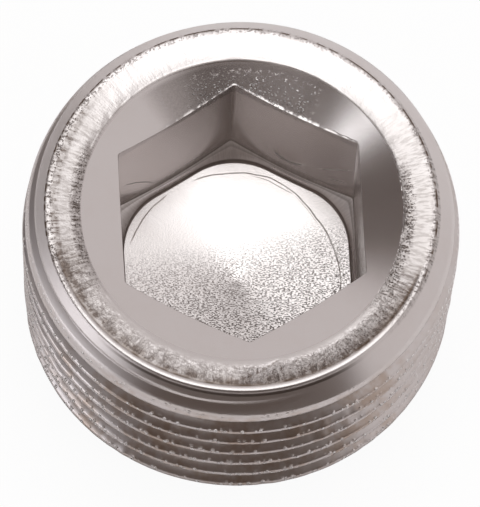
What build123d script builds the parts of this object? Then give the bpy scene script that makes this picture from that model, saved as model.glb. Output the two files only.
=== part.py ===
from build123d import *
import math
import os

# Hex socket plug: a taper pipe plug made in one piece, nickel-plated brass.
# It stands on its small end. The origin is the middle of that end and +Z points up
# through the face that holds the key socket. All sizes are millimetres and degrees.

# Driving dimension: the whole plug.
overall_height = 14.44

# Driving dimensions: R 3/4 taper pipe thread, right-hand, 14 turns to the inch.
thread_pitch = 1.8143
gauge_diameter = 26.441
gauge_length = 9.5
thread_taper = 1 / 16
flank_angle = 55
crest_cut = 0.15
thread_start_angle = 97

# Driving dimensions: the two turned ends of the thread. The top chamfer turns steeper at a
# shoulder, a little inside the line of the crests, which blunts the first ridge. The drops
# and widths are radial, and the two drops are measured from the line of the crests.
top_chamfer_width = 0.87
top_chamfer_angle = 30
shoulder_drop = 0.52
shoulder_angle = 14
lead_chamfer_drop = 1.32
lead_chamfer_angle = 42

# Driving dimensions: the forged rim round the socket. Its outer edge is a flat bead, from
# which a shallow dish falls to a rounded inner edge. Shares are of the rim's width.
rim_inner_diameter = 19.52
bead_height = 0.14
bead_bevel_share = 0.04
bead_share = 0.24
bead_foot_share = 0.27
bead_step = 0.05
dish_angle = 7
inner_edge_share = 0.21
inner_edge_angle = 12

# Driving dimensions: the key socket, for a 9/16 inch hexagon key.
key_size = 14.29
key_clearance = 0.14
socket_corner_radius = 0.25
countersink_angle = 135
socket_depth = 9.7
nose_angle = 120
floor_width = 13.7
floor_corner_radius = 3.4
floor_step = 0.28
floor_angle = 164
socket_turn = 7

# Room that a cutting shape runs past the surface it cuts, and past the crests.
overrun = 1.0
crest_overrun = 0.2

# Thread form: a 55 degree vee cut short at crest and root, as in ISO 7-1.
vee_height_per_pitch = 0.960491
thread_height_per_pitch = 0.640327
vee_height = vee_height_per_pitch * thread_pitch
thread_height = thread_height_per_pitch * thread_pitch
flank_slope = math.tan(math.radians(flank_angle / 2))
root_flat = (vee_height - thread_height) * flank_slope
groove_depth = thread_height - crest_cut
radius_per_height = thread_taper / 2
taper_angle = math.degrees(math.atan(radius_per_height))


def crest_radius(height):
    """Radius of the blunted crests at a height above the small end."""
    return gauge_diameter / 2 - crest_cut + (height - gauge_length) * radius_per_height


def root_radius(height):
    """Radius of the thread root at a height above the small end."""
    return crest_radius(height) - groove_depth


# The rim starts inside the shoulder by the width of the chamfer. Its levels run inwards: the
# edge under the bead, the top of the dish, the foot of the dish and the mouth of the socket.
edge_height = overall_height - bead_height
shoulder_radius = crest_radius(edge_height) - shoulder_drop
rim_radius = shoulder_radius - top_chamfer_width
rim_width = rim_radius - rim_inner_diameter / 2
dish_height = overall_height - bead_step
dish_width = rim_width * (1 - bead_foot_share - inner_edge_share)
dish_foot = dish_height - dish_width * math.tan(math.radians(dish_angle))
inner_edge_fall = rim_width * inner_edge_share * math.tan(math.radians(inner_edge_angle))
mouth_height = dish_foot - inner_edge_fall


def turned_outline():
    """What the lathe leaves: forged rim, top chamfer, lead chamfer and flat small end.

    Between the chamfers it stands clear of the crests, which the threaded bar gives.
    """
    inner_radius = rim_inner_diameter / 2
    lead_radius = crest_radius(0) - lead_chamfer_drop
    clear_radius = crest_radius(overall_height) + crest_overrun
    shoulder_fall = top_chamfer_width / math.tan(math.radians(top_chamfer_angle))
    shoulder_height = edge_height - shoulder_fall
    clear_fall = (clear_radius - shoulder_radius) / math.tan(math.radians(shoulder_angle))
    lead_rise = (clear_radius - lead_radius) / math.tan(math.radians(lead_chamfer_angle))

    outline = Polyline(
        (0, 0),
        (lead_radius, 0),
        (clear_radius, lead_rise),
        (clear_radius, shoulder_height - clear_fall),
        (shoulder_radius, shoulder_height),
        (rim_radius, edge_height),
        (rim_radius - bead_bevel_share * rim_width, overall_height),
        (rim_radius - bead_share * rim_width, overall_height),
        (rim_radius - bead_foot_share * rim_width, dish_height),
        (inner_radius + inner_edge_share * rim_width, dish_foot),
        (inner_radius, mouth_height),
        (0, mouth_height),
        close=True,
    )
    return revolve(Plane.XZ * make_face(outline), Axis.Z)


def thread_groove():
    """The vee that one pass of the threading tool leaves: a helix on the taper."""
    bottom = -thread_pitch
    path = Helix(
        pitch=thread_pitch,
        height=overall_height + 2 * thread_pitch,
        radius=root_radius(bottom),
        center=(0, 0, bottom),
        cone_angle=taper_angle,
    )
    mouth_depth = groove_depth + crest_overrun
    half_root = root_flat / 2
    half_mouth = half_root + mouth_depth * flank_slope
    across = Plane(origin=path @ 0, x_dir=(1, 0, 0), z_dir=(0, -1, 0))
    vee = make_face(
        Polyline(
            (0, -half_root),
            (mouth_depth, -half_mouth),
            (mouth_depth, half_mouth),
            (0, half_root),
            close=True,
        )
    )
    groove = sweep(across * vee, path=path, is_frenet=True)
    return Rot(0, 0, thread_start_angle) * groove


def threaded_bar():
    """A tapered bar with the thread cut in it, longer than the plug at both ends."""
    bottom = -2 * thread_pitch
    top = overall_height + 2 * thread_pitch
    crests = Cone(
        crest_radius(bottom),
        crest_radius(top),
        top - bottom,
        align=(Align.CENTER, Align.CENTER, Align.MIN),
    )
    return Pos(0, 0, bottom) * crests - thread_groove()


def turned_cone(edge_radius, edge_level, angle, top):
    """A cone with its point down and an included angle, carried straight up to top."""
    fall = edge_radius / math.tan(math.radians(angle / 2))
    outline = Polyline(
        (0, edge_level - fall),
        (edge_radius, edge_level),
        (edge_radius, top),
        (0, top),
        close=True,
    )
    return revolve(Plane.XZ * make_face(outline), Axis.Z)


def hexagon_prism(across_flats, corner_radius, bottom, top):
    """An upright hexagonal bar with rounded corners, one of them towards +Y."""
    hexagon = RegularPolygon(across_flats / 2, 6, major_radius=False, rotation=30)
    hexagon = fillet(hexagon.vertices(), corner_radius)
    return Pos(0, 0, bottom) * extrude(hexagon, top - bottom)


def punched_socket():
    """The key socket, as the shape of the punch that forms it.

    A hexagon ends in a coned nose. Under the nose lies a rounder hexagon, one small
    step deeper, whose floor falls gently to the middle. A countersink opens the mouth.
    """
    across_flats = key_size + key_clearance
    corner_radius = across_flats / 2 / math.cos(math.radians(30))
    foot_height = edge_height - socket_depth
    nose_slope = 1 / math.tan(math.radians(nose_angle / 2))
    corner_height = foot_height + (corner_radius - across_flats / 2) * nose_slope
    floor_edge = foot_height - (across_flats - floor_width) / 2 * nose_slope - floor_step
    floor_slope = 1 / math.tan(math.radians(floor_angle / 2))
    floor_level = floor_edge + (corner_radius - floor_width / 2) * floor_slope
    top = edge_height + overrun
    bottom = floor_edge - across_flats / 2

    nose = turned_cone(corner_radius, corner_height, nose_angle, top)
    floor = turned_cone(corner_radius, floor_level, floor_angle, top)
    grip = hexagon_prism(across_flats, socket_corner_radius, floor_edge + floor_step, top) & nose
    pocket = hexagon_prism(floor_width, floor_corner_radius, bottom, corner_height) & floor
    mouth = turned_cone(rim_inner_diameter / 2, mouth_height, countersink_angle, top)
    return Rot(0, 0, socket_turn) * (grip + pocket + mouth)


plug_body = (threaded_bar() & turned_outline()) - punched_socket()
plug_body.label = "plug_body"

os.makedirs("parts", exist_ok=True)
export_step(plug_body, "parts/plug_body.step")
print("plug_body volume", round(plug_body.volume, 2), "solids", len(plug_body.solids()))
print("bounds", plug_body.bounding_box())
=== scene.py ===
import math

import bpy
import numpy as np
from mathutils import Matrix, Vector


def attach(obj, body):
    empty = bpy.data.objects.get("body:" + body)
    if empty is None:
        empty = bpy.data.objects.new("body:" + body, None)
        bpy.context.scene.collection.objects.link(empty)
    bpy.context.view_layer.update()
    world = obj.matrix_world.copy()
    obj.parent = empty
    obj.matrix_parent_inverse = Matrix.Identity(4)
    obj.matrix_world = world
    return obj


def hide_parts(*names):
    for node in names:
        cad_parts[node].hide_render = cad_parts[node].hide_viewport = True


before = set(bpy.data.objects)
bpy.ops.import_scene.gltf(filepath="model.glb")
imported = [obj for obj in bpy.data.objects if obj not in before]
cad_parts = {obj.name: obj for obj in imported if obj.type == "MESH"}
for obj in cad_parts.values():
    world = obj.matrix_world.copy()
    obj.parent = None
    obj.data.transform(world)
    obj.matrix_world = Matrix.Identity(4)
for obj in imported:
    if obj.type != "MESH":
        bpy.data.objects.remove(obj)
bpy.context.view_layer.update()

# The taper thread. It is cut on the lathe in one long right-hand vee, which the chamfers at
# both ends cut short. The tool tears the brass and leaves burrs along the blunt crests.
# Sizes are in millimetres until the mesh is made.
TURN = 2 * math.pi
PITCH = 1.8143
GAUGE_DIAMETER = 26.441
GAUGE_HEIGHT = 9.5
TAPER_RUN = 32
CREST_CUT = 0.15
CREST_HALF = 0.229
THREAD_DEPTH = 1.012
FLANK_SLOPE = math.tan(math.radians(27.5))
ROOT_START = CREST_HALF + THREAD_DEPTH * FLANK_SLOPE
START_ANGLE = math.radians(97)
RIDGES = range(-2, 9)
WIDEST_RADIUS = 13.09
EDGE_HEIGHT = 14.3
CHAMFER_WIDTH = 0.87
SHOULDER_RADIUS = 12.7005
SHOULDER_HEIGHT = EDGE_HEIGHT - CHAMFER_WIDTH / math.tan(math.radians(30))
SHOULDER_SLOPE = math.tan(math.radians(14))
SHOULDER_SWELL = 0.13
LEAD_RADIUS = 11.4536
LEAD_SLOPE = math.tan(math.radians(42))
BURR = 0.022
SAG = 0.012
RUN_OUT = 0.056
GROOVE_DROOP = 0.26
RIDGE_DROOP = 0.3
THREAD_COLUMNS = 480
chance = np.random.default_rng(14)


def ease(value, low, high):
    """0 at low, 1 at high and a soft step between them."""
    share = np.clip((value - low) / (high - low), 0, 1)
    return share * share * (3 - 2 * share)


def uneven(turn, along, cells_round, cells_along):
    """Smooth chance heights from -1 to 1. They close on themselves after one turn."""
    heights = chance.uniform(-1, 1, (cells_round, cells_along + 2))
    turn, along = np.broadcast_arrays(turn, along)
    column = np.floor(turn * cells_round).astype(int)
    row = np.floor(along * cells_along).astype(int)
    across = ease(turn * cells_round - column, 0, 1)
    up = ease(along * cells_along - row, 0, 1)
    here = column % cells_round
    after = (column + 1) % cells_round
    low = heights[here, row] * (1 - across) + heights[after, row] * across
    high = heights[here, row + 1] * (1 - across) + heights[after, row + 1] * across
    return low * (1 - up) + high * up


def between(azimuth, start, full, fade, end):
    """1 between the angles full and fade, soft towards start and end, in degrees."""
    around = (azimuth - start) % 360
    rise = ease(around, 0, full - start)
    return rise * ease(around, end - start, fade - start)


def rim_radius(angle):
    """The forged rim lies a tenth of a millimetre off the thread's axis."""
    return 11.79 + 0.11 * np.cos(angle - math.radians(226))


def crest_radius(height):
    return GAUGE_DIAMETER / 2 - CREST_CUT + (height - GAUGE_HEIGHT) / TAPER_RUN


def chamfer_limit(angle, height):
    """The largest radius that the chamfers at the two ends leave."""
    fall = (EDGE_HEIGHT - height) / (EDGE_HEIGHT - SHOULDER_HEIGHT)
    swell = SHOULDER_SWELL * between(np.degrees(angle), 20, 80, 130, 190)
    shoulder = SHOULDER_RADIUS + swell
    top = rim_radius(angle) + (shoulder - rim_radius(angle)) * fall
    below = shoulder + (SHOULDER_HEIGHT - height) * SHOULDER_SLOPE
    lead = LEAD_RADIUS + height * LEAD_SLOPE
    return np.minimum(np.where(fall < 1, top, below), lead)


def thread_profile():
    """One ridge and the groove above it, as height above the crest and depth below it."""
    half_way = CREST_HALF + THREAD_DEPTH * 0.5 * FLANK_SLOPE
    return [
        (-0.26, 0.12),
        (-0.18, 0.055),
        (-0.08, 0.012),
        (0.0, 0.0),
        (0.08, 0.012),
        (0.18, 0.055),
        (0.26, 0.12),
        (half_way, THREAD_DEPTH * 0.5),
        (ROOT_START - 0.04, THREAD_DEPTH - 0.07),
        (ROOT_START + 0.04, THREAD_DEPTH),
        (PITCH - ROOT_START - 0.04, THREAD_DEPTH),
        (PITCH - ROOT_START + 0.04, THREAD_DEPTH - 0.07),
        (PITCH - half_way, THREAD_DEPTH * 0.5),
    ]


def thread_faces(inside, rows_a_turn):
    """Quads between the rows. The last column joins the first one, one turn further up."""
    rows = len(inside)
    faces = []
    for row in range(rows - 1):
        for column in range(THREAD_COLUMNS):
            corners = [(row, column), (row, column + 1), (row + 1, column + 1), (row + 1, column)]
            if column + 1 == THREAD_COLUMNS:
                if row + 1 + rows_a_turn >= rows:
                    continue
                corners[1] = (row + rows_a_turn, 0)
                corners[2] = (row + 1 + rows_a_turn, 0)
            if any(inside[corner] for corner in corners):
                faces.append([r * THREAD_COLUMNS + c for r, c in corners])
    return faces


def thread_surface():
    """Points row by row up the helix, one column for each angle, and their faces."""
    profile = thread_profile()
    turn = np.arange(THREAD_COLUMNS) / THREAD_COLUMNS
    angle = turn * TURN
    heights = []
    radii = []
    for ridge in RIDGES:
        centre = PITCH * ((angle - START_ANGLE) / TURN + 0.5 + ridge)
        up = np.clip(centre / 20 + 0.2, 0, 0.999)
        torn = uneven(turn, up, 240, 12) + 0.6 * uneven(turn, up, 160, 12)
        patch = ease(uneven(turn, up, 18, 9), -0.3, 0.5) * ease(centre, 12.3, 11.3)
        sag = SAG * uneven(turn, up, 30, 9)
        last_groove = ease(centre, 10.2, 10.9)
        first_ridge = ease(centre, 11.9, 12.5)
        for offset, depth in profile:
            on_crest = ease(depth, 0.3, 0.02)
            droop = GROOVE_DROOP * last_groove * ease(offset, 1.2, 1.3)
            droop = droop + RIDGE_DROOP * first_ridge * ease(offset, -0.1, -0.2)
            height = centre + offset - droop + (sag + 0.02 * torn * patch) * on_crest
            run_out = RUN_OUT * ease(height, 12.9, 13.5)
            burr = (BURR * torn * patch + sag) * on_crest
            heights.append(height)
            radii.append(crest_radius(height) - depth + run_out + burr)
    heights = np.maximum.accumulate(np.array(heights))
    radii = np.minimum(np.array(radii), chamfer_limit(angle, heights))
    radii = np.minimum(radii, WIDEST_RADIUS)
    inside = (heights > 0) & (heights < EDGE_HEIGHT)
    radii = np.where(heights >= EDGE_HEIGHT, rim_radius(angle), radii)
    radii = np.where(heights <= 0, LEAD_RADIUS, radii)
    heights = np.clip(heights, 0, EDGE_HEIGHT)
    clean = np.zeros_like(heights)
    points = np.stack([radii * np.cos(angle), radii * np.sin(angle), heights, clean], axis=-1)
    return points.reshape(-1, 4), thread_faces(inside, len(profile))


# The face and the key socket. The rim is forged to a shallow dish that keeps radial marks of
# the die, with a bead round its near edge and a lap in the dish. A turned countersink opens
# the punched hexagon, whose floor keeps the grain of the punch and two more lap lines.
FACE_COLUMNS = 720
PLUG_HEIGHT = 14.44
MOUTH_HEIGHT = 14.165
COUNTERSINK_FALL = math.tan(math.radians(22.5))
SOCKET_CORNER = 97
KEY_RADIUS = 7.215
KEY_CORNER = 0.25
FOOT_HEIGHT = 4.6
FOOT_SWELL = 0.03
NOSE_RISE = math.tan(math.radians(30))
POCKET_RADIUS = 6.85
POCKET_CORNER = 4.3
POCKET_EDGE = 4.11
FLOOR_RISE = math.tan(math.radians(8))
FLOOR_MIDDLE = POCKET_EDGE - POCKET_RADIUS * FLOOR_RISE


def hexagon_radius(from_flat, flat_radius, corner_radius):
    """Distance from the axis to a hexagon with rounded corners."""
    lean = np.abs(from_flat)
    straight = flat_radius / np.cos(lean)
    bend_start = (flat_radius - corner_radius) * math.tan(math.radians(30))
    bend_centre = (flat_radius - corner_radius) / math.cos(math.radians(30))
    side = math.radians(30) - lean
    reach = np.maximum(corner_radius**2 - (bend_centre * np.sin(side)) ** 2, 0)
    rounded = bend_centre * np.cos(side) + np.sqrt(reach)
    return np.where(flat_radius * np.tan(lean) > bend_start, rounded, straight)


def mouth_radius(angle):
    """The countersink is turned a tenth of a millimetre off centre too."""
    return 9.735 + 0.1 * np.cos(angle - math.radians(195))


def rim_rings(turn, angle, azimuth):
    """Radius, height and crease colour (dirt and painted shade) of each ring of the rim. A share
    is 1 at the outer edge.
    """
    shares = [0.99, 0.97, 0.945, 0.91, 0.87, 0.835, 0.81, 0.785, 0.755, 0.71, 0.65]
    shares += [0.57, 0.48, 0.39, 0.3, 0.23, 0.17, 0.12, 0.075, 0.035, 0]
    shares = np.array(shares)[:, None]
    marks = [0, 0.035, 0.09, 0.21, 0.72, 0.76, 0.8, 0.82, 0.84, 0.91, 0.955, 0.98, 0.992, 1]
    beaded = [MOUTH_HEIGHT, 14.182, 14.215, 14.258, 14.355, 14.352, 14.354, 14.38, 14.425]
    beaded += [14.436, 14.436, 14.41, 14.365, EDGE_HEIGHT]
    plain = [MOUTH_HEIGHT, 14.182, 14.215, 14.258, 14.37, 14.378, 14.384, 14.388, 14.39]
    plain += [14.388, 14.376, 14.354, 14.332, EDGE_HEIGHT]
    near = between(azimuth, -168, -150, -28, -10)
    heights = np.interp(shares, marks, beaded) * near
    heights = heights + np.interp(shares, marks, plain) * (1 - near)
    far = between(azimuth, 15, 50, 130, 165) * ease(shares, 0, 0.07) * ease(shares, 0.4, 0.12)
    heights = heights - 0.016 * far

    # The marks of the die: fine strokes, a rolled bead, and ragged edges at the sides.
    held = ease(shares, 0, 0.04) * ease(shares, 1, 0.96)
    left = between(azimuth, 120, 160, 215, 240)
    strokes = (0.0045 + 0.0035 * left) * uneven(turn, shares, 230, 2)
    strokes = strokes + 0.004 * uneven(turn, shares, 120, 3) + 0.012 * uneven(turn, shares, 26, 2)
    bead = ease(shares, 0.8, 0.84) * near
    outer = ease(shares, 0.76, 0.86) * (1 - near)
    side = 1 - between(azimuth, 20, 55, 125, 150)
    inner = ease(shares, 0.22, 0.12) * (1 - near) * side
    ragged = 0.016 * uneven(turn, shares, 230, 3) + 0.014 * uneven(turn, shares, 110, 4)
    rolled = 0.003 * uneven(turn, shares, 40, 1)
    heights = heights + held * (strokes * (1 - bead) + rolled * bead + ragged * (outer + inner))
    heights = np.minimum(heights, PLUG_HEIGHT - 0.001)

    # The lap across the dish, and the rough hollow beside it.
    lap_place = np.interp(azimuth, [266, 272, 279, 285.5, 288], [0.78, 0.66, 0.38, 0.12, 0.05])
    lap = between(azimuth, -94, -91, -75, -72) * ease(np.abs(shares - lap_place), 0.07, 0.02)
    sunk = between(azimuth, -88, -72, -30, -10) * ease(shares, 0.84, 0.76) * ease(shares, 0.1, 0.3)
    heights = heights - 0.03 * lap + 0.016 * sunk * uneven(turn, shares, 150, 5)
    radii = mouth_radius(angle) + shares * (rim_radius(angle) - mouth_radius(angle))

    # Dark colour in the creases, part dirt and part painted shade: the outer edge, the mouth, the
    # lap and the foot of the bead.
    edge_line = ease(shares, 0.93, 0.965) * (1 - near) * ease(uneven(turn, 0, 260, 1), -0.3, 0.2)
    mouth_line = ease(shares, 0.02, 0) * between(azimuth, 15, 45, 140, 175) * 0.35
    lap_line = ease(np.abs(shares - lap_place), 0.035, 0.0) * lap * 0.7
    patchy = ease(uneven(turn, shares, 150, 3), -0.5, 0.4)
    foot_line = ease(np.abs(shares - 0.78), 0.05, 0.01) * near * (patchy * 0.45 + 0.5)
    return list(zip(radii, heights, edge_line + mouth_line + lap_line + foot_line))


def socket_rings(turn, angle, azimuth):
    """Radius, height and crease colour (dirt and painted shade) of each ring from the countersink
    to the middle of the floor.
    """
    from_flat = np.radians((azimuth - SOCKET_CORNER) % 60 - 30)
    mouth = hexagon_radius(from_flat, KEY_RADIUS, KEY_CORNER)
    mouth_height = MOUTH_HEIGHT - (mouth_radius(angle) - mouth) * COUNTERSINK_FALL
    rings = []
    for part in (0.03, 0.1, 0.5, 0.9):
        radius = mouth_radius(angle) + (mouth - mouth_radius(angle)) * part
        rings.append((radius, MOUTH_HEIGHT + (mouth_height - MOUTH_HEIGHT) * part, 0))

    # The wire edge that the punch drags up along the far sides of the hexagon.
    dragged = between(azimuth, 36, 41, 94, 102) + 0.5 * between(azimuth, 94, 102, 125, 150)
    wire = dragged * (0.014 + 0.014 * uneven(turn, 0, 340, 1))
    rings.append((mouth + 0.045, mouth_height + 0.045 * COUNTERSINK_FALL, 0))
    rings.append((mouth + 0.018, mouth_height + 0.008 + wire, 0))
    rings.append((mouth, mouth_height - 0.012 + wire * 0.5, 0))

    # The six walls, the sloping foot of the punch and the edge of the rounded pocket.
    foot = FOOT_HEIGHT + (mouth - KEY_RADIUS) * NOSE_RISE
    # Dirt and painted shade darken the creases at the foot and along the pocket's edge.
    for part, crease_dirt_and_shade in ((0.01, 0), (0.5, 0), (0.9, 0), (0.97, 0.1), (1.0, 0.6)):
        swell = FOOT_SWELL * ease(part, 0.85, 1.0)
        rings.append((mouth - swell, mouth_height + (foot - mouth_height) * part, crease_dirt_and_shade))
    pocket = hexagon_radius(from_flat, POCKET_RADIUS, POCKET_CORNER)
    pocket_top = FOOT_HEIGHT + (pocket - KEY_RADIUS) * NOSE_RISE
    pocket_floor = POCKET_EDGE + (pocket - POCKET_RADIUS) * FLOOR_RISE
    for part, crease_dirt_and_shade in ((0.08, 0.1), (0.3, 0.45), (0.4, 0), (0.96, 0.2)):
        radius = mouth - FOOT_SWELL + (pocket - mouth + FOOT_SWELL) * part
        rings.append((radius, foot + (pocket_top - foot) * part, crease_dirt_and_shade))
    rings.append((pocket + 0.01, pocket_top - 0.01, 0.6))
    rings.append((pocket - 0.02, pocket_top - 0.05, 0.7))
    rings.append((pocket - 0.045, pocket_floor + 0.03, 0.6))
    rings.append((pocket - 0.06, pocket_floor - 0.06 * FLOOR_RISE, 0))
    rings.append((pocket - 0.085, pocket_floor - 0.085 * FLOOR_RISE, 0))

    # The lap line round the floor, with a fainter twin inside it.
    # Their dark colour is part dirt in the lap and part painted shade.
    lap_angles = [0, 17, 42, 65, 76, 87, 98, 118, 136, 153, 172, 200, 260, 330, 360]
    lap_radii = [6.2, 6.06, 6.0, 6.4, 6.58, 6.58, 6.56, 6.6, 6.64, 6.7, 6.7, 6.5, 6.4, 6.3, 6.2]
    lap = np.interp(azimuth, lap_angles, lap_radii) + 0.025 * uneven(turn, 0, 60, 1)
    shown = between(azimuth, -20, -8, 114, 119) + between(azimuth, 132, 137, 162, 170)
    depth = 0.02 * shown * (0.8 + 0.2 * uneven(turn, 0, 50, 1))
    crease_dirt_and_shade = shown * (0.75 + 0.25 * uneven(turn, 0, 90, 1))
    for shift, share_deep in ((0.055, 0), (0.04, 0), (0, 1), (-0.04, 0), (-0.055, 0)):
        radius = lap + shift
        height = FLOOR_MIDDLE + radius * FLOOR_RISE - depth * share_deep
        rings.append((radius, height, crease_dirt_and_shade * share_deep))
    twin = lap - 0.13 - 0.1 * between(azimuth, 60, 70, 74, 86)
    beside = 0.7 * between(azimuth, 60, 65, 80, 88) + 0.35 * between(azimuth, 36, 42, 54, 60)
    for shift, share_deep in ((0.035, 0), (0, 1), (-0.035, 0)):
        radius = twin + shift
        rings.append((radius, FLOOR_MIDDLE + radius * FLOOR_RISE, beside * share_deep))
    for part in (0.85, 0.6, 0.3, 0.05):
        radius = (twin - 0.035) * part
        rings.append((radius, FLOOR_MIDDLE + radius * FLOOR_RISE, 0))
    return rings


def ring_points(radius, angle, height, crease_dirt_and_shade):
    """One ring of points, each with its crease colour (dirt and painted shade) as a fourth value.
    """
    level = 0 * angle
    across, along = radius * np.cos(angle), radius * np.sin(angle)
    return np.stack([across, along, height + level, crease_dirt_and_shade + level], axis=-1)


def face_surface():
    """Points ring by ring from the rim to the middle of the floor, and their faces."""
    turn = np.arange(FACE_COLUMNS) / FACE_COLUMNS
    angle = turn * TURN
    azimuth = turn * 360
    rings = rim_rings(turn, angle, azimuth) + socket_rings(turn, angle, azimuth)
    points = [ring_points(radius, angle, height, crease_dirt_and_shade) for radius, height, crease_dirt_and_shade in rings]
    edge_angle = np.arange(THREAD_COLUMNS) / THREAD_COLUMNS * TURN
    points.append(ring_points(rim_radius(edge_angle), edge_angle, EDGE_HEIGHT, 0))
    points = np.concatenate([*points, [[0, 0, FLOOR_MIDDLE, 0]]])

    # The rim's edge has the thread's columns, two for each three columns of the face.
    faces = []
    edge_start = len(rings) * FACE_COLUMNS
    for group in range(THREAD_COLUMNS // 2):
        edge = [edge_start + (2 * group + step) % THREAD_COLUMNS for step in range(3)]
        ring = [(3 * group + step) % FACE_COLUMNS for step in range(4)]
        faces.append([edge[0], edge[1], ring[1], ring[0]])
        faces.append([edge[1], ring[2], ring[1]])
        faces.append([edge[1], edge[2], ring[3], ring[2]])
    for outer in range(0, edge_start - FACE_COLUMNS, FACE_COLUMNS):
        inner = outer + FACE_COLUMNS
        for column in range(FACE_COLUMNS):
            after = (column + 1) % FACE_COLUMNS
            faces.append([outer + column, outer + after, inner + after, inner + column])
    last = edge_start - FACE_COLUMNS
    for column in range(FACE_COLUMNS):
        after = (column + 1) % FACE_COLUMNS
        faces.append([last + column, last + after, len(points) - 1])
    return points, faces


# The small end: the flat turned face that the plug stands on. Then the three surfaces are
# set together in metres and welded shut, because the real plug is one piece of brass.
WELD_REACH = 0.0000005


def small_end():
    """A middle point with two rings of points round it, and their faces."""
    angle = np.arange(THREAD_COLUMNS) * TURN / THREAD_COLUMNS
    points = [ring_points(radius, angle, 0, 0) for radius in (LEAD_RADIUS, LEAD_RADIUS * 0.5)]
    points = np.concatenate([*points, np.zeros((1, 4))])
    faces = []
    for column in range(THREAD_COLUMNS):
        after = (column + 1) % THREAD_COLUMNS
        inner = THREAD_COLUMNS
        faces.append([after, column, inner + column, inner + after])
        faces.append([inner + after, inner + column, 2 * THREAD_COLUMNS])
    return points, faces


points = []
faces = []
for part_points, part_faces in (thread_surface(), face_surface(), small_end()):
    faces += [[corner + len(points) for corner in face] for face in part_faces]
    points += part_points.tolist()
points = np.array(points)
skin = bpy.data.meshes.new("plug")
skin.from_pydata((points[:, :3] * 0.001).tolist(), [], faces)
# Each point carries its crease colour, part dirt and part painted shade.
crease_dirt_and_shade = skin.attributes.new("crease_dirt_and_shade", "FLOAT", "POINT")
crease_dirt_and_shade.data.foreach_set("value", np.clip(points[:, 3], 0, 1))
skin.validate()
skin.shade_smooth()
plug = bpy.data.objects.new("plug", skin)
bpy.context.scene.collection.objects.link(plug)
weld = plug.modifiers.new("weld", "WELD")
weld.merge_threshold = WELD_REACH
bpy.context.view_layer.objects.active = plug
plug.select_set(True)
bpy.ops.object.modifier_apply(modifier="weld")


# The finish of the plug: nickel plate over brass, satin where the lathe and the punch left
# it smooth and rough where it is forged. Dirt, warm brown stains and painted shade sit in the
# low places and on the darker sides, the walls of the socket carry painted light, and the
# torn burrs of the crests carry painted glints.
PLATE_COLOUR = (0.71, 0.675, 0.665, 1)
# Painted light: a lighter plate for the socket's walls and foot.
PAINTED_LIGHT_WALL_COLOUR = (0.87, 0.83, 0.81, 1)
# Brown for real stains and for painted shade.
STAIN_AND_SHADE_COLOUR = (0.47, 0.36, 0.28, 1)
# Dirt, and painted shade in the grooves, creases and pits and on the darker sides.
DIRT_AND_SHADE_COLOUR = (0.17, 0.14, 0.125, 1)
# Painted glints, for the burrs, the torn far countersink and the scratches.
PAINTED_GLINT_COLOUR = (0.95, 0.94, 0.93, 1)
# Painted glints along the wall scratches.
PAINTED_SCRATCH_GLINT_COLOUR = (0.9, 0.88, 0.85, 1)
# Dark crease lines, part dirt and part painted shade.
CREASE_DIRT_AND_SHADE_COLOUR = (0.13, 0.085, 0.055, 1)


class Wire:
    """A value that changes over the surface. Sums written with it add Math nodes."""

    def __init__(self, tree, socket):
        self.tree = tree
        self.socket = socket

    def add(self, kind, settings, sockets, output=0):
        """A new node of any kind, with its settings and its sockets. Gives one output."""
        node = self.tree.nodes.new("ShaderNode" + kind)
        for name, value in settings.items():
            setattr(node, name, value)
        for name, value in sockets.items():
            if isinstance(value, Wire):
                self.tree.links.new(value.socket, node.inputs[name])
            else:
                node.inputs[name].default_value = value
        return Wire(self.tree, node.outputs[output]) if node.outputs else None

    def math(self, operation, first, second=0.0):
        return self.add("Math", {"operation": operation}, {0: first, 1: second})

    def __add__(self, other):
        return self.math("ADD", self, other)

    def __radd__(self, other):
        return self.math("ADD", other, self)

    def __sub__(self, other):
        return self.math("SUBTRACT", self, other)

    def __rsub__(self, other):
        return self.math("SUBTRACT", other, self)

    def __mul__(self, other):
        return self.math("MULTIPLY", self, other)

    def __rmul__(self, other):
        return self.math("MULTIPLY", other, self)

    def step(self, low, high):
        """0 at low, 1 at high and a soft step between them. Low may be the larger one."""
        settings = {"interpolation_type": "SMOOTHSTEP"}
        flip = low > high
        ends = {1: high, 2: low, 3: 1.0, 4: 0.0} if flip else {1: low, 2: high, 3: 0.0, 4: 1.0}
        return self.add("MapRange", settings, {0: self, **ends})

    def band(self, start, full, fade, end):
        """1 between full and fade, with a soft step on either side."""
        return self.step(start, full) * self.step(end, fade)

    def blend(self, low, high):
        """From the colour low where this is 0 to the colour high where it is 1."""
        sockets = {0: self, 6: low, 7: high}
        return self.add("Mix", {"data_type": "RGBA"}, sockets, 2)

    def parts(self):
        """The X, Y and Z of a vector, each as a value."""
        return [self.add("SeparateXYZ", {}, {0: self}, axis) for axis in "XYZ"]

    def noise(self, scale, detail):
        return self.add("TexNoise", {}, {"Vector": self, "Scale": scale, "Detail": detail}, "Fac")


def new_finish(name):
    """An empty material, and a wire to start writing it from."""
    finish = bpy.data.materials.new(name)
    finish.use_nodes = True
    finish.node_tree.nodes.clear()
    return finish, Wire(finish.node_tree, None)


# Where a point lies: in millimetres, by its distance from the axis, by the direction from
# the axis, and by its distance from the nearest crest along the thread.
nickel, start = new_finish("nickel_plate")
place = start.add("TexCoord", {}, {}, "Object")
millimetres = start.add("VectorMath", {"operation": "SCALE"}, {0: place, "Scale": 1000.0})
x, y, z = millimetres.parts()
flat_place = start.add("CombineXYZ", {}, {"X": x, "Y": y})
radius = start.add("VectorMath", {"operation": "LENGTH"}, {0: flat_place}, "Value")
outward = start.add("VectorMath", {"operation": "NORMALIZE"}, {0: flat_place})
outward_x, outward_y = outward.parts()[:2]
azimuth = start.math("ARCTAN2", y, x)
coil = z * (1 / PITCH) - azimuth * (1 / TURN) + START_ANGLE / TURN
from_crest = start.math("ABSOLUTE", start.math("FRACT", coil) - 0.5) * PITCH

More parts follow.
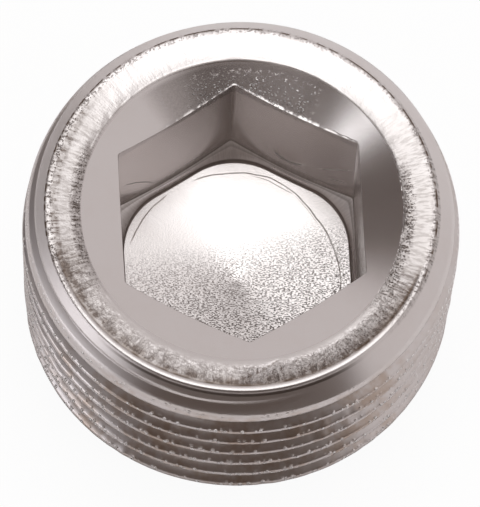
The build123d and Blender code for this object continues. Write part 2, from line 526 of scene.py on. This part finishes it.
# The zones of the rim.
on_rim = radius.band(9.6, 9.75, 11.8, 11.92) * z.step(13.95, 14.1)
near_rim = outward_y.step(-0.35, -0.7) * on_rim
open_rim = on_rim - near_rim
side_rim = open_rim * outward_y.step(0.75, 0.35)
inner_edge = side_rim * radius.step(10.5, 9.95) * outward_y.step(0.45, 0.15)
outer_edge = open_rim * radius.step(11.3, 11.6)
dish = radius.band(9.8, 10.5, 11.25, 11.45) * z.step(13.95, 14.1) * outward_y.step(-0.15, -0.5)
dish_foot = near_rim * radius.band(10.7, 11.2, 11.42, 11.5)
sunk = near_rim * outward_x.step(0.0, 0.12) * radius.band(10.0, 10.4, 11.35, 11.45)
bead_line = radius.band(11.7, 11.76, 11.98, 12.08) * z.band(14.0, 14.08, 14.2, 14.27)
bead_line = bead_line * outward_y.step(-0.72, -0.9)
left_strip = side_rim * radius.band(10.9, 11.15, 11.4, 11.6) * outward_x.step(-0.6, -0.85)

# The zones of the countersink and the socket.
far_cone = z.step(12.6, 12.8) * radius.band(7.0, 7.25, 9.3, 9.65) * outward_x.step(0.5, 0.4)
far_cone = far_cone * outward_y.step(0.7, 0.83)
in_socket = radius.step(8.4, 8.2) * z.band(2.8, 3.0, 12.7, 12.9)
on_wall = in_socket * z.step(5.0, 5.2)
on_floor = z.band(2.8, 3.0, 4.5, 4.7) * radius.step(7.4, 7.0)
near_floor = on_floor * (y * -1.0 + x * 0.25).step(-3.5, 6.0)
on_foot = z.step(5.4, 5.2) * in_socket - on_floor

# The zones of the outside.
on_side = radius.step(11.7, 11.9)
on_chamfer = on_side * z.step(12.2, 12.8) * outward_x.step(-0.25, -0.6)
on_thread = radius.step(11.9, 12.2) * z.step(12.9, 12.0)
on_crest = from_crest.step(0.33, 0.14) * on_thread
groove = from_crest.step(0.4, 0.75) * on_thread
in_front = outward_y.step(-0.45, -0.8)

# Grain of several sizes. The die's strokes follow the rim, the punch's grain lies flat on
# the floor, and the lathe's lines run round the axis.
round_place = {"X": outward_x * 11.0, "Y": outward_y * 11.0, "Z": radius * 0.25}
round_place = start.add("CombineXYZ", {}, round_place)
strokes = round_place.noise(7.0, 3.0)
brush = round_place.noise(3.2, 4.0)
pressed = start.add("CombineXYZ", {}, {"X": x * 0.5, "Y": y * 1.2, "Z": 0.0})
pressed = pressed.noise(13.0, 4.0)
turned_place = start.add("CombineXYZ", {}, {"X": radius, "Y": z, "Z": 0.0})
lathe = turned_place.noise(9.0, 2.0)
grains = millimetres.noise(9.0, 4.0)
blots = millimetres.noise(5.0, 3.0)
dents = millimetres.noise(2.4, 2.0)
patches = millimetres.noise(0.9, 1.0)
clouds = millimetres.noise(0.4, 3.0)
pits = (pressed * 0.85 + dents * 0.15).step(0.48, 0.39)
specks = (strokes * 0.35 + grains * 0.65).step(0.49, 0.38)
glints = (grains * 0.6 + blots * 0.4).step(0.55, 0.62)

# Scratches that the punch left on the two far walls, painted as pale glint lines over a small
# ledge of bump: the wall's side, the place along and up it, the slope, the bend, the half
# length and the half width.
painted_scratch_glints = 0.0
ledges = 0.0
for side, middle, low, slope, bend, half, width in (
    (67, 0.3, 6.0, 0.0, 0.5, 1.35, 0.3),
    (67, -2.8, 8.05, -0.97, 0.05, 1.25, 0.15),
    (67, -3.0, 6.6, -0.5, 0.0, 0.7, 0.1),
    (127, 2.5, 7.0, 1.05, -0.25, 1.4, 0.13),
):
    side_x, side_y = -math.sin(math.radians(side)), math.cos(math.radians(side))
    along = x * side_x + y * side_y - middle
    facing = (x * side_y - y * side_x).step(6.9, 7.1)
    above = z - low - along * slope - along * along * bend
    reach = start.math("ABSOLUTE", along).step(half, half * 0.3) * facing
    painted_scratch_glints = painted_scratch_glints + above.band(-width, 0.0, 0.0001, width) * reach
    ledge = above.step(-width, width) * above.step(1.8, width)
    ledges = ledges + ledge * reach * (0.25 * width)
painted_scratch_glints = start.math("MINIMUM", painted_scratch_glints * on_wall, 1.0)

# Painted glints: pale colour with less metal on the burrs that stand out from the crests, on the
# sparkle of the torn far countersink and along the wall scratches.
pearls = {"Vector": millimetres, "Scale": 3.6}
from_pearl = start.add("TexVoronoi", {}, pearls, "Distance")
chosen = start.add("TexVoronoi", {}, pearls, "Color").parts()[0]
beads = from_pearl.step(0.5, 0.32) * chosen.step(0.3, 0.4) * patches.step(0.34, 0.46)
painted_sparkle = grains.step(0.58, 0.64) * radius.step(9.3, 7.8) * far_cone * outward_x.step(-0.5, -0.3)
burr = on_crest * beads * 0.9 + painted_sparkle * 0.8 + painted_scratch_glints * 0.9
burr = start.math("MINIMUM", burr, 1.0)

# The fine relief, in millimetres.
height = (open_rim + on_foot * 0.5) * strokes * 0.012 + on_rim * grains * 0.008
height = height - (inner_edge * 0.03 + outer_edge * 0.02) * specks
height = height + dish * ((brush - 0.5) * 0.1 + (blots - 0.5) * 0.03 + (dents - 0.5) * 0.06)
height = height + sunk * (blots - 0.5) * 0.12 + on_wall * ledges
height = height + far_cone * glints * 0.16 * radius.step(9.4, 7.6) * outward_x.step(-0.5, -0.3)
height = height + on_floor * grains * 0.004 - near_floor * pits * 0.045
height = height + near_floor * dents * 0.015 + lathe * 0.0012
height = height + on_crest * from_pearl.step(0.55, 0.1) * beads * 0.09
bump = start.add("Bump", {}, {"Height": height, "Distance": 0.001, "Strength": 1.0})

# Dirt and painted shade, zone by zone. Painted shade fills the thread's grooves, more in front
# and less on the pale right, and darkens the dish towards the near bead, the foot of that bead,
# the line under it, the floor's pits, more towards the near side, and the left of the thread. A
# painted dark reflection lies on the far countersink, deepest at its left. Dirt and specks sit on
# the rim's edges, dish and foot, the rim's sides are darkened, and the blunt crests are dulled
# between the beads.
dirt_and_shade = groove * (dents.step(0.42, 0.6) * 0.4 + grains * 0.3 + 0.25 + in_front * 0.1)
dirt_and_shade = dirt_and_shade * (outward_x.step(0.85, 0.35) * 0.8 + 0.2)
dirt_and_shade = dirt_and_shade + inner_edge * (dents.step(0.4, 0.6) * 0.28 + specks * 0.35 + 0.08)
dirt_and_shade = dirt_and_shade + outer_edge * specks * 0.4 + side_rim * (strokes.step(0.58, 0.36) * 0.3 + 0.19)
dirt_and_shade = dirt_and_shade + left_strip * (specks * 0.3 + dents.step(0.4, 0.6) * 0.3 + 0.1)
dirt_and_shade = dirt_and_shade + dish_foot * (dents.step(0.4, 0.6) * 0.3) + sunk * specks * 0.35 + bead_line * 0.85
dish_dirt_and_shade = brush.step(0.6, 0.4) * 0.3 + specks * 0.14 + radius.step(9.9, 11.5) * 0.42 + 0.04
dirt_and_shade = dirt_and_shade + dish * dish_dirt_and_shade + near_rim * 0.05
dirt_and_shade = dirt_and_shade + near_floor * pits * (y.step(-1.0, -5.0) * 0.3 + 0.78)
dirt_and_shade = dirt_and_shade + on_foot * strokes.step(0.6, 0.4) * 0.12 + on_crest * (1.0 - beads) * 0.18
dirt_and_shade = dirt_and_shade + on_thread * outward_x.step(-0.4, -0.8) * 0.08
dirt_and_shade = dirt_and_shade + far_cone * (grains * 0.3 + outward_x.step(0.0, -0.35) * 0.3)
dirt_and_shade = start.math("MINIMUM", dirt_and_shade, 1.0)

# The colour, from the plate outwards: stains and painted shade, painted light on the walls,
# dirt and painted shade, painted glints, painted scratch glints and, on top, the dark crease
# colour, part dirt and part painted shade, that the mesh carries along its creases.
stained = (dents * 0.3 + clouds * 0.7).step(0.4, 0.66)
# Real stains all over, with painted shade on the thread's front and at the foot of the near bead.
stain_and_shade = stained * (on_thread * (in_front * 0.6 + 0.12) + dish_foot * 0.4 + 0.05)
# The dark crease colour that the mesh carries: part dirt, part painted shade.
crease_dirt_and_shade = start.add("Attribute", {"attribute_name": "crease_dirt_and_shade"}, {}, "Fac")
tone = stain_and_shade.blend(PLATE_COLOUR, STAIN_AND_SHADE_COLOUR)
# Painted light: the walls and the foot of the socket are lightened.
tone = ((on_wall + on_foot) * 0.7).blend(tone, PAINTED_LIGHT_WALL_COLOUR)
tone = dirt_and_shade.blend(tone, DIRT_AND_SHADE_COLOUR)
# Painted glints on the burrs and the torn far countersink.
tone = burr.blend(tone, PAINTED_GLINT_COLOUR)
# Painted glints along the wall scratches.
tone = painted_scratch_glints.blend(tone, PAINTED_SCRATCH_GLINT_COLOUR)
tone = (crease_dirt_and_shade * 0.95).blend(tone, CREASE_DIRT_AND_SHADE_COLOUR)
rough = 0.19 + on_rim * 0.08 + clouds * 0.06 + on_floor * 0.02 + on_side * 0.07 + crease_dirt_and_shade * 0.3
rough = rough + on_foot * 0.12 + on_chamfer * 0.13
surface = start.add(
    "BsdfPrincipled",
    {},
    {"Base Color": tone, "Metallic": 1.0 - burr * 0.8, "Roughness": rough, "Normal": bump},
)
start.add("OutputMaterial", {}, {"Surface": surface})
skin.materials.append(nickel)
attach(plug, "root")
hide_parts("plug_body")


# The table: a plain white sheet, wide enough to fill every view. It keeps a soft shadow,
# and lies a hair below the plug so that the two faces don't fight.
FLOOR_HALF = 1.5
FLOOR_LEVEL = -0.00002
floor_corners = [
    (-FLOOR_HALF, -FLOOR_HALF, FLOOR_LEVEL),
    (FLOOR_HALF, -FLOOR_HALF, FLOOR_LEVEL),
    (FLOOR_HALF, FLOOR_HALF, FLOOR_LEVEL),
    (-FLOOR_HALF, FLOOR_HALF, FLOOR_LEVEL),
]
floor_mesh = bpy.data.meshes.new("floor")
floor_mesh.from_pydata(floor_corners, [], [(0, 1, 2, 3)])
floor = bpy.data.objects.new("floor", floor_mesh)
bpy.context.scene.collection.objects.link(floor)
paper, start = new_finish("white_paper")
seen = start.add("LightPath", {}, {}, "Is Camera Ray")
matt = start.add("BsdfDiffuse", {}, {"Color": (0.72, 0.7, 0.7, 1)})
white = start.add("Emission", {}, {"Color": (1, 1, 1, 1), "Strength": 1.0})
sheet = start.add("MixShader", {}, {0: seen * 0.95, 1: matt, 2: white})
start.add("OutputMaterial", {}, {"Surface": sheet})
floor_mesh.materials.append(paper)


# The low screen round the plug: a ring of card, dark in front, pale at the right, with one
# bright gap at the left. Only the metal mirrors it, and it casts no shadow.
SCREEN_RADIUS = 0.04
SCREEN_FOOT = 0.0001
SCREEN_TOP = 0.0145
SCREEN_COLUMNS = 144
DEGREES = 57.29578
screen_points = []
screen_faces = []
for column in range(SCREEN_COLUMNS):
    turn_angle = column * TURN / SCREEN_COLUMNS
    edge_x = SCREEN_RADIUS * math.cos(turn_angle)
    edge_y = SCREEN_RADIUS * math.sin(turn_angle)
    screen_points += [(edge_x, edge_y, SCREEN_FOOT), (edge_x, edge_y, SCREEN_TOP)]
    after = (column + 1) % SCREEN_COLUMNS
    screen_faces.append((column * 2, after * 2, after * 2 + 1, column * 2 + 1))
screen_mesh = bpy.data.meshes.new("screen")
screen_mesh.from_pydata(screen_points, [], screen_faces)
screen = bpy.data.objects.new("screen", screen_mesh)
bpy.context.scene.collection.objects.link(screen)
screen.visible_camera = False
screen.visible_diffuse = False
screen.visible_shadow = False


def studio_tone(start, azimuth):
    """What stands round the plug, by the direction in degrees, 0 to the right."""
    folds = start.add("TexNoise", {"noise_dimensions": "1D"}, {"W": azimuth * 0.09}, "Fac")
    dark = folds.step(0.35, 0.65).blend((0.06, 0.052, 0.055, 1), (0.17, 0.125, 0.1, 1))
    pale = azimuth.band(-50.0, -36.0, 126.0, 142.0)
    return pale.blend(dark, (0.7, 0.655, 0.65, 1))


card, start = new_finish("card")
x, y, z = start.add("TexCoord", {}, {}, "Object").parts()
walls = studio_tone(start, start.math("ARCTAN2", y, x) * DEGREES)
from_left = start.math("ARCTAN2", y * -1.0, x * -1.0) * DEGREES
walls = from_left.band(-30.0, -18.0, 44.0, 58.0).blend(walls, (0.14, 0.125, 0.125, 1))
walls = from_left.band(-8.0, 26.0, 38.0, 56.0).blend(walls, (1.7, 1.67, 1.73, 1))
glow = start.add("Emission", {}, {"Color": walls, "Strength": 1.0})
start.add("OutputMaterial", {}, {"Surface": glow})
screen_mesh.materials.append(card)


# The room: the same walls by direction as the screen, a grey one at the left with a small
# light high on it, and one wide light overhead that leans to the far side.
room = bpy.data.worlds.new("room")
bpy.context.scene.world = room
room.use_nodes = True
room.node_tree.nodes.clear()
start = Wire(room.node_tree, None)
x, y, z = start.add("TexCoord", {}, {}, "Generated").parts()
walls = studio_tone(start, start.math("ARCTAN2", y, x) * DEGREES)
from_left = start.math("ARCTAN2", y * -1.0, x * -1.0) * DEGREES
climb = start.math("ARCSINE", z) * DEGREES
grey_top = from_left.step(-8.0, 10.0) * 15.0 + 36.0
grey = from_left.band(-37.0, -28.0, 38.0, 50.0) * (climb - grey_top).step(5.0, -3.0)
walls = grey.blend(walls, (0.29, 0.265, 0.265, 1))
high_grey = from_left.band(46.0, 54.0, 76.0, 84.0) * climb.band(44.0, 49.0, 61.0, 67.0)
walls = high_grey.blend(walls, (0.5, 0.46, 0.45, 1))
walls = climb.step(59.0, 76.0).blend(walls, (0.2, 0.17, 0.165, 1))
spot = from_left.band(0.0, 8.0, 14.0, 24.0) * climb.band(49.0, 54.0, 58.0, 64.0)
walls = spot.blend(walls, (2.4, 2.4, 2.45, 1))
lamp_side = start.math("ARCTAN2", x, z) * DEGREES
lamp_back = start.math("ARCTAN2", y, z) * DEGREES
wide_lamp = lamp_side.band(-26.0, -8.0, 7.0, 22.0) * lamp_back.band(-13.0, -5.0, 18.0, 44.0)
low_lamp = lamp_side.band(-32.0, -24.0, -14.0, -4.0) * lamp_back.band(14.0, 21.0, 32.0, 42.0)
sky = start.math("MAXIMUM", wide_lamp, low_lamp * 0.7).blend(walls, (2.2, 2.2, 2.2, 1))
shine = start.add("Background", {}, {"Color": sky, "Strength": 1.0})
start.add("OutputWorld", {}, {"Surface": shine})


# The lamp over the table. It lights the sheet and casts the soft shadow.
lamp_data = bpy.data.lights.new("lamp", "AREA")
lamp_data.shape = "DISK"
lamp_data.size = 0.3
lamp_data.energy = 1.2
lamp = bpy.data.objects.new("lamp", lamp_data)
bpy.context.scene.collection.objects.link(lamp)
lamp.location = (0.0, 0.08, 0.5)
lamp.rotation_euler = (math.radians(-9), 0, 0)
lamp.visible_glossy = False
lamp.visible_camera = False


# The camera: a long lens one metre away, looking steeply down at the face. Its aim is
# shifted a little from the middle of the face, and it is rolled by a few degrees.
ELEVATION = math.radians(67.6)
ROLL = math.radians(4.135)
DISTANCE = 1.0
FOCAL_PIXELS = 16746.8
FRAME_WIDTH = 480
SENSOR_WIDTH = 36
AIM_RIGHT = 0.000143
AIM_UP = 0.002681
back = Vector((0, -math.cos(ELEVATION), math.sin(ELEVATION)))
level = Vector((1, 0, 0))
upward = back.cross(level)
right = level * math.cos(ROLL) + upward * math.sin(ROLL)
up = upward * math.cos(ROLL) - level * math.sin(ROLL)
camera_data = bpy.data.cameras.new("camera")
camera_data.sensor_fit = "HORIZONTAL"
camera_data.sensor_width = SENSOR_WIDTH
camera_data.lens = FOCAL_PIXELS * SENSOR_WIDTH / FRAME_WIDTH
camera_data.clip_start = 0.05
camera_data.clip_end = 20
camera = bpy.data.objects.new("camera", camera_data)
bpy.context.scene.collection.objects.link(camera)
turned = Matrix((right, up, back)).transposed().to_4x4()
target = Vector((0, 0, EDGE_HEIGHT * 0.001)) - right * AIM_RIGHT - up * AIM_UP
camera.matrix_world = Matrix.Translation(target + back * DISTANCE) @ turned
bpy.context.scene.camera = camera
bpy.context.scene.view_settings.view_transform = "Standard"
